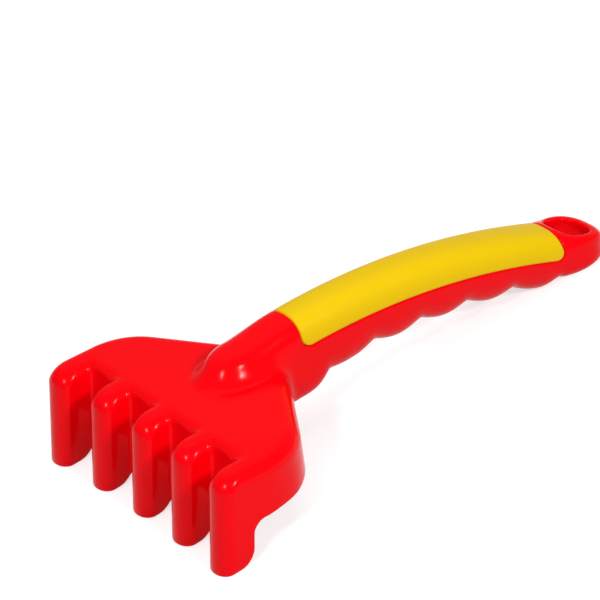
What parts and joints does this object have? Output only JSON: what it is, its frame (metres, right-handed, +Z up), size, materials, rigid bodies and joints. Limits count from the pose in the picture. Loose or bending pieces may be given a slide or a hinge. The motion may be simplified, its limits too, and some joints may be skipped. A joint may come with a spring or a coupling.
{
  "type": "toy sand rake",
  "caption": "Short one-piece plastic sand rake with rounded hollow tines, a curved finger-grip handle, a pressed-in cover on its back and a hanging eyelet.",
  "frame": {"origin": "on the floor, under the middle of the length and of the width", "axes": "+X along the handle towards the tines, +Y to the left of a person who looks along +X, +Z up"},
  "size_m": [0.2118, 0.1076, 0.0439],
  "materials": {
    "body": "gloss",
    "cover": "satin"
  },
  "bodies": {
    "root": {"rake_body": "body", "grip_cover": "cover"}
  },
  "joints": []
}
